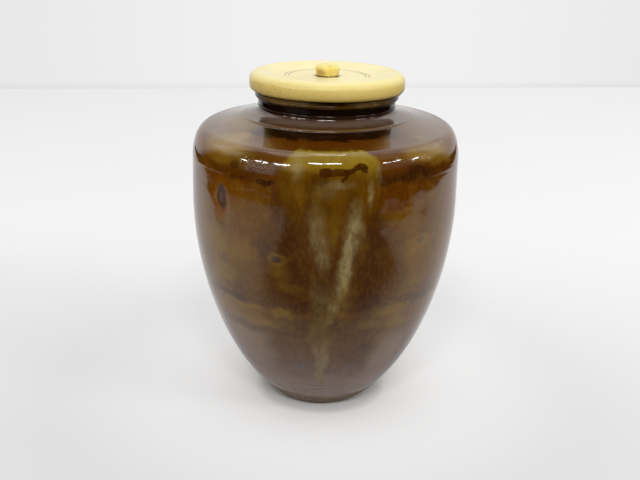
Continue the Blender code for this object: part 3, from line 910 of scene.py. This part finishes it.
def glazeFinish():
    made, spot, sockets = newFinish("ironGlaze", IOR=1.55)
    tree = spot.tree
    skin, reach, stood = (stored(tree, name) for name in ("skin", "reach", "height"))
    slow, quick = (wallOf(spot, *glaze[name]) for name in ("slowStray", "quickStray"))
    azimuth, level, span = slow["Azimuth"], slow["Level"], glaze["levelSpan"]

    def veil(name, *more):
        return cloud(spot, *glaze["veils"][name], *more)

    def edge(value, name):
        return ease(value, *glaze["edges"][name])

    # the brown ground, its clouds and its upright runs
    colour = rampOf(level, span, glaze["tones"])
    golden = veil("golden") * between(edge(level, "golden"), 0.04, 0.28)
    golden = golden * between(edge(level, "goldenTop"), 1.0, 0.25)
    colour = tint(colour, "yellow", golden)
    colour = tint(colour, "dark", veil("shade") * 0.3)
    for where, wide, high, name, strength in glaze["areas"]:
        colour = tint(colour, name, patch(slow, where, wide, high, soft=0.55)["Mask"] * strength)
    for at, high, strength in glaze["bands"]:
        mask = ease(abs(level - at), high * 1.5, high * 0.4)
        colour = tint(colour, "dark", mask * between(veil("band", at), 0.35 * strength, strength))

    # the flow down the front
    left, right = (curveOf(level, span, glaze[name], *glaze["flowSpan"]) for name in ("flowLeft", "flowRight"))
    flow = edge(azimuth - left, "flow") * edge(right - azimuth, "flow")
    frayed = reach + between(veil("fray"), -0.6, 0.6)
    flow = flow * largest(edge(frayed, "flowReach"), edge(level, "flowTop"))
    flowColour = rampOf(quick["Level"], span, glaze["flowTones"])
    flowColour = tint(flowColour, "dark", veil("fibre") * between(edge(level, "fibre"), 0.14, 0.34))
    flowColour = tint(flowColour, "yellow", between(veil("glint"), 0.0, 0.3))
    colour = blend(flow * 0.94, colour, flowColour)
    for where, wide, high, strength in glaze["runs"]:
        colour = tint(colour, "dark", patch(quick, where, wide, high, soft=0.6)["Mask"] * strength)

    # frosted streaks, combed by fine fibres
    comb = between(veil("comb"), 0.62, 1.0) * between(veil("combGaps"), 0.42, 1.0)
    for where, wide, high, lean, strength in glaze["streaks"]:
        colour = tint(colour, "frost", patch(quick, where, wide, high, lean, 0.75)["Mask"] * comb * strength)

    for where, wide, high, lean, name, strength in glaze["marks"]:
        mark = patch(quick, where, wide, high, lean, 0.16 if name in ("blot", "rust", "pool") else 0.3)
        if name == "spot":
            colour = tint(colour, "yellow", mark["Halo"] * (strength * 0.42))
        colour = tint(colour, name, mark["Mask"] * strength)

    # fine grain: crystals in the glaze, and pinholes
    plain = edge(level, "grain")
    colour = tint(colour, "yellow", veil("crystals") * between(plain, 0.03, 0.12))
    colour = tint(colour, "dark", veil("threads") * between(plain, 0.05, 0.16))
    pits = speck(spot, *glaze["pits"])
    colour = tint(colour, "pool", pits * 0.7)

    # the pool round the collar, and the neck and lip
    bareLevel = wallOf(spot, *glaze["fineStray"])["Level"]
    height = stood + (split(spot)[2] / mm - bareLevel)
    ragged = reach + between(veil("ragged"), -0.9, 0.9)
    pool = edge(reach, "poolInside") * edge(ragged, "poolOutside")
    pool = pool * edge(height, "poolAbove") * edge(height, "poolBelow")
    off = abs(azimuth)
    colour = tint(colour, "poolAtCollar", pool * (edge(off, "poolTurn") * 0.95))
    start = glaze["neckStart"]
    # the neck's ramp holds a painted sheen on the collar's roll and painted shade under the lip
    neckColour = rampOf(height - start, glaze["neckSpan"], [(at - start, tone) for at, tone in glaze["neckTones"]])
    for where, wide, high, strength in glaze["lipStains"]:
        neckColour = tint(neckColour, "khaki", patch(quick, where, wide, high, soft=0.5)["Mask"] * strength)
    onNeck = between(edge(off, "neckTurn"), edge(height, "neckBehind"), edge(height, "neckFront"))
    colour = blend(onNeck, colour, neckColour)

    # inside the pot, and the bare clay of the foot
    outside = edge(skin, "outside")
    colour = blend(outside, glaze["inside"], colour)
    wander = (noise(spot, 1 / (glaze["clayWanderSize"] * mm))[0] - 0.5) * glaze["clayWander"]
    bare = edge(bareLevel + wander, "clay") * outside
    clayColour = blend(veil("clay"), glaze["clay"], glaze["darkClay"])
    clayColour = tint(clayColour, "grit", speck(spot, *glaze["gritSpecks"]) * 0.6)
    colour = blend(bare, colour, clayColour)

    # the gloss: dull in the groove of the neck and on the amber runs
    hollow = edge(height, "groove") * outside
    for where, wide, high, strength in glaze["mellow"]:
        hollow = largest(hollow, patch(quick, where, wide, high, soft=0.5)["Mask"] * strength)
    feed(between(hollow, *glaze["sheen"]), sockets["Specular IOR Level"])
    rough = between(bare, between(veil("gloss"), *glaze["roughness"]), glaze["clayRoughness"])

    # the surface, in mm: slow swells, orange peel, pits, blisters and coarse clay
    calm = edge(height, "calm")
    swelling = veil("swell") * between(calm, 0.014, 0.009) + veil("peel") * between(calm, 0.0025, 0.0007)
    swelling = swelling - pits * 0.05
    blisters = edge(height, "rollBelow") * edge(height, "rollAbove") * 0.4
    for where, wide, high in glaze["blistered"]:
        blisters = largest(blisters, patch(quick, where, wide, high, soft=0.3)["Mask"])
    swelling = swelling + speck(spot, *glaze["bubbles"]) * blisters * 0.028
    swelling = swelling + veil("coarse") * 0.05 * bare
    finishWith(sockets, colour, rough, swelling, 1.0)
    return made


# The cream resin of the lid and the knob, and the gilt paper; colours are linear, places are (azimuth, level)
cream = {
    "resin": {"IOR": 1.5, "Subsurface Weight": 0.15, "Subsurface Radius": (1.0, 0.7, 0.35)},
    "stray": (0.25, 1.2), "tones": ((0.82, 0.72, 0.36), (0.86, 0.77, 0.43)), "grain": (0.8, 0.62, 0.2),
    "sideFrom": 79.0, "sideSpan": 6.0, "sideEdge": (15.6, 17.4),
    # the side darkens towards the bottom: an aged, browner tint, and painted shade where the side turns downwards
    "side": [(0.7, (0.27, 0.18, 0.032)), (1.5, (0.46, 0.335, 0.078)), (2.6, (0.62, 0.47, 0.125)),
             (3.8, (0.71, 0.57, 0.18)), (4.8, (0.8, 0.7, 0.31))],
    # the lines in the dish are painted shade in the grooves, on their back half only, broken here and there
    "line": (0.1, 0.06, 0.02), "lineEdge": (0.2, 0.05), "lineAbove": (0.082, 0.0824), "lineBack": (-0.004, 0.003),
    "freckles": (0.6, 0.17, 0.5), "freckle": (0.24, 0.11, 0.03), "freckled": ((-42, 81.9), 38, 1.6, 0, 0.6),
    "tan": (0.55, 0.36, 0.1), "nick": (0.16, 0.09, 0.03), "nicked": ((68, 80.3), 3, 0.55, 0, 0.4),
    "roughness": (0.3, 0.38),
}
warmCream = {
    "stray": (0.3, 1.0), "tones": ((0.78, 0.62, 0.14), (0.8, 0.68, 0.22)),
    "stain": (0.42, 0.17, 0.02), "stained": ((-38, 83.9), 26, 0.9, 0, 0.6),
    "seat": (0.2, 0.1, 0.03), "seatEdge": (83.3, 82.95), "roughness": (0.26, 0.36),
}
gilt = {
    "tones": ((0.8, 0.55, 0.19), (0.9, 0.68, 0.3)), "seam": (0.45, 0.26, 0.07), "leaf": 9.0, "seamWidth": 0.12,
    "roughness": (0.28, 0.45),
}


def creamFinish():
    made, spot, sockets = newFinish("creamResin", **cream["resin"], **{"Subsurface Scale": 0.002})
    where = wallOf(spot, *cream["stray"])
    x, y, z = split(spot)
    cloudy, fine = cloud(spot, 6.0, 1.0, 0.3, 0.7), cloud(spot, 0.6, 1.0, 0.3, 0.7, 4.0)
    colour = blend(fine * 0.1, blend(cloudy, *cream["tones"]), cream["grain"])
    # darker towards the bottom of the side: aged tint and painted shade
    side = rampOf(where["Level"] - cream["sideFrom"], cream["sideSpan"], cream["side"])
    radius = distance(x, y) * (1 / mm)
    colour = blend(ease(radius, *cream["sideEdge"]), colour, side)
    for middle in lidShape["grooves"]:
        line = ease(abs(radius - middle), *cream["lineEdge"]) * ease(z, *cream["lineAbove"])
        line = line * ease(y, *cream["lineBack"])
        broken = between(cloud(spot, 2.5, 1.0, 0.3, 0.5, 7.0), 0.45, 0.98)
        colour = blend(line * broken, colour, cream["line"])
    area = patch(where, *cream["freckled"])["Mask"]
    colour = blend(speck(spot, *cream["freckles"]) * area * 0.95, colour, cream["freckle"])
    colour = blend(area * 0.18, colour, cream["tan"])
    colour = blend(patch(where, *cream["nicked"])["Mask"] * 0.8, colour, cream["nick"])
    finishWith(sockets, colour, between(cloudy, *cream["roughness"]), fine * 0.004, 1.0)
    return made


def knobFinish():
    made, spot, sockets = newFinish("warmCreamPeg", **cream["resin"], **{"Subsurface Scale": 0.0015})
    where = wallOf(spot, *warmCream["stray"])
    cloudy = cloud(spot, 1.6, 1.0, 0.3, 0.7)
    stain = patch(where, *warmCream["stained"])["Mask"]
    colour = blend(stain * 0.65, blend(cloudy, *warmCream["tones"]), warmCream["stain"])
    colour = blend(ease(where["Level"], *warmCream["seatEdge"]) * 0.75, colour, warmCream["seat"])
    finishWith(sockets, colour, between(cloudy, *warmCream["roughness"]), cloudy, 0.004)
    return made


def leafFinish():
    made, spot, sockets = newFinish("gildedPaper", Metallic=1.0)
    cloudy = cloud(spot, 2.0, 1.0, 0.3, 0.7)
    black, white = (0.0, 0.0, 0.0), (1.0, 1.0, 1.0)
    seams = addTo({"Vector": spot, "Scale": 1 / mm, "Brick Width": gilt["leaf"], "Row Height": gilt["leaf"],
                   "Mortar Size": gilt["seamWidth"], "Color1": black, "Color2": black, "Mortar": white},
                  "ShaderNodeTexBrick", offset=0.0)[0]
    colour = blend(seams * 0.4, blend(cloudy, *gilt["tones"]), gilt["seam"])
    finishWith(sockets, colour, between(cloudy, *gilt["roughness"]), cloudy, 0.05)
    return made


potFinish, lidFinish, pegFinish, gildedFinish = glazeFinish(), creamFinish(), knobFinish(), leafFinish()
print("finishes built")


def turnPiece(make, outline, level, finish, reliefOf, **more):
    piece = outlineObject(make["name"], outline, level, reliefOf, **more)
    for tree in (turned, unevenTree(make)):
        addTree(piece, tree, {**make, "Finish": finish})
    return piece


def finishPiece(piece, node, body):
    settle(piece)
    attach(piece, body)
    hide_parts(node)
    print(piece.name, "made:", len(piece.data.polygons), "faces")


# The pot
potMake = {
    "name": "tea_caddy_pot", "wear": "glaze laid on by hand",
    "Sides": 296, "Ridge height": 0.00008, "Ridge spacing": 0.0034, "Wave height": 0.00022, "Wave size": 0.022,
    "Dip at front": 0.00054, "Rise at right": 0.00036, "Seed": 2.0,
    "marks": [  # azimuth, level, half width in degrees, half height, rise in mm
        (-45.5, 55.4, 4.2, 4.4, 0.24), (-50, 61, 5, 5, 0.1), (41.5, 56.6, 3.4, 3.8, 0.1), (27, 56, 5, 4.2, 0.1),
        (-18.6, 46.2, 2.2, 0.7, -0.1), (28, 34, 2.2, 0.6, -0.08), (41, 34.1, 2, 0.6, -0.08),
        (43, 49.6, 2.2, 0.7, -0.08), (3, 50, 13, 16, 0.1), (150, 52, 9, 12, 0.14), (-125, 57, 6, 7, 0.12),
        (95, 60, 5, 4, 0.12)],
    "foot": {"level": 4.3, "wander": 2.2, "wanderSize": 6.0, "bareEdge": (0.25, -0.15), "step": 0.10,
             "roll": 0.04, "rollAt": 0.5, "rollWidth": 0.7,
             "curlCentre": (1.6, -1.1), "curlSpacing": 0.85, "curlDepth": 0.16, "curlEdge": (9.4, 10.6)},
    "shoulder": {"from": (61, 69), "to": (77, 75), "inner": 14, "width": 16, "meltFrom": (42, 78)},
    # how freely the clay moves above a level, and below them all
    "relief": [(77, 0.12), (75, 0.3)], "footRelief": 1.2, "insideRelief": (68, 0.4, 0.1),
    # where the collar's roll sinks to leave a hollow sweep instead
    "melt": {"from": 18.6, "to": 22.4, "rise": 0.16, "levels": (72.5, 74.4), "drop": 0.06, "power": 1.5, "blur": 0.5},
}


def potSkin(index, z):
    # 0 inside, 1 outside, 2 under the foot
    if index < potInsideCount:
        return 0.0
    return 2.0 if z <= 0.001 else 1.0


def potRelief(index, r, z):
    if index < potInsideCount:
        level, below, above = potMake["insideRelief"]
        return below if z < level else above
    for level, share in potMake["relief"]:
        if z > level:
            return share
    return min(1.0, z / potMake["footRelief"])


def potMelt(r, z):
    # how far the collar's roll sinks, in mm
    melt = potMake["melt"]
    first, last, (low, high) = melt["from"], melt["to"], melt["levels"]
    if z < low or z > high or not first < r < last:
        return 0.0
    endR, endZ = potShape["shoulderEnd"]
    out = r - potShape["collar"]
    slope = (endZ - potShape["shoulderLevel"]) / (endR - potShape["collar"])
    line = potShape["shoulderLevel"] + slope * out - melt["drop"] * max(out, 0)
    sweep = line + melt["rise"] * ((last - r) / (last - first)) ** melt["power"]
    return (sweep - z) * min(1.0, (r - first) / melt["blur"], (last - r) / melt["blur"])


inside = potInside(potShape)
potInsideCount = len(inside) + 4
pot = turnPiece(potMake, inside + potLip(potShape) + potOutside(potShape), 0.0, potFinish, potRelief,
                skinOf=potSkin, meltOf=potMelt)
finishPiece(pot, "caddy_body", "caddy")

# The lid
lidMake = {
    "name": "tea_caddy_lid", "wear": "worn lid", "Sides": 220, "Seed": 5.0,
    "Ridge height": 0.00003, "Ridge spacing": 0.0012, "Wave height": 0.00012, "Wave size": 0.014,
    "marks": [(66, 80.2, 2.2, 0.5, -0.25), (-52, 80.0, 3.0, 0.35, -0.12), (143, 80.1, 2.5, 0.4, -0.14)],
    "seat": 79.72 * mm, "freeFrom": (11, 0.02),
}


def lidRelief(index, r, z):
    return 1.0 if r > lidMake["freeFrom"][0] and z > lidMake["freeFrom"][1] else 0.15


lid = turnPiece(lidMake, lidOutline(lidShape), lidMake["seat"], lidFinish, lidRelief)
finishPiece(lid, "lid_plate", "lid")

# The knob
knobMake = {"name": "tea_caddy_knob", "wear": "hand cut peg", "marks": [],
            "Sides": 96, "Wave height": 0.00002, "Wave size": 0.006, "Seed": 8.0}
dishTop = lidShape["rise"] - lidShape["dish"]
knob = turnPiece(knobMake, knobOutline(knobShape), lidMake["seat"] + dishTop * mm, pegFinish,
                 lambda i, r, z: 1.0 if z > 0.3 else 0.1)
finishPiece(knob, "lid_knob", "lid")

# The gilt paper under the lid
leafMake = {"name": "gilded_lining", "wear": "paper laid by hand", "marks": [],
            "Sides": 96, "Wave height": 0.00012, "Wave size": 0.005, "Seed": 9.0}
leafLevel = lidMake["seat"] - lidShape["plugRise"] * mm
leaf = turnPiece(leafMake, leafOutline(leafShape), leafLevel, gildedFinish, lambda i, r, z: 0.4)
finishPiece(leaf, "gold_leaf_lining", "lid")
